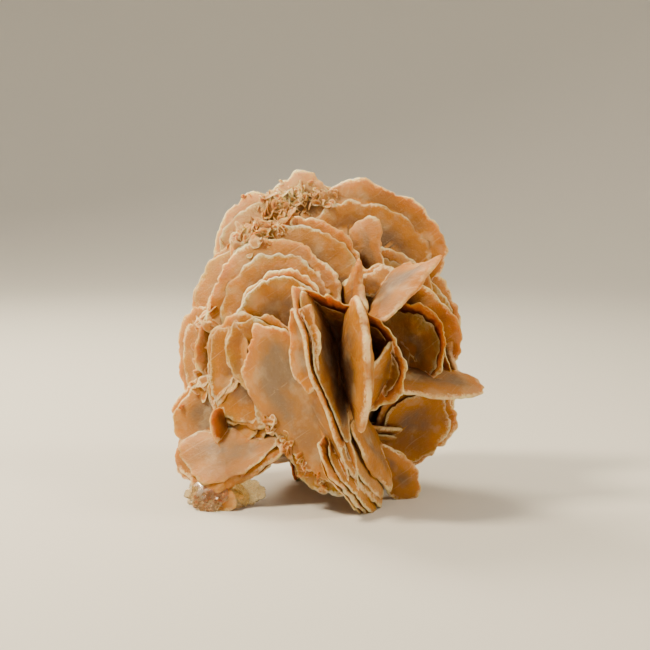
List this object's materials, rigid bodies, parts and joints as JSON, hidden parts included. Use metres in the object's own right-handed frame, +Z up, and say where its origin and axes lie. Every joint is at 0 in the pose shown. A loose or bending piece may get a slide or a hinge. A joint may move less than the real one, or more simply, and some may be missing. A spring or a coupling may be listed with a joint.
{
  "type": "gypsum sand rose",
  "caption": "Upright rosette of lens-shaped gypsum blades grown through one another, standing on its lowest rims.",
  "frame": {"origin": "on the surface the stone rests on, under the middle of its bounding box", "axes": "+Z up, -Y towards the side with the fan of edge-on blades, +X to the right of a viewer who faces that side"},
  "size_m": [0.1216, 0.1012, 0.1239],
  "materials": {
    "sand_rose": "waxy, translucent, with chipped sugary rims"
  },
  "bodies": {
    "root": {"sand_rose": "sand_rose"}
  },
  "joints": []
}
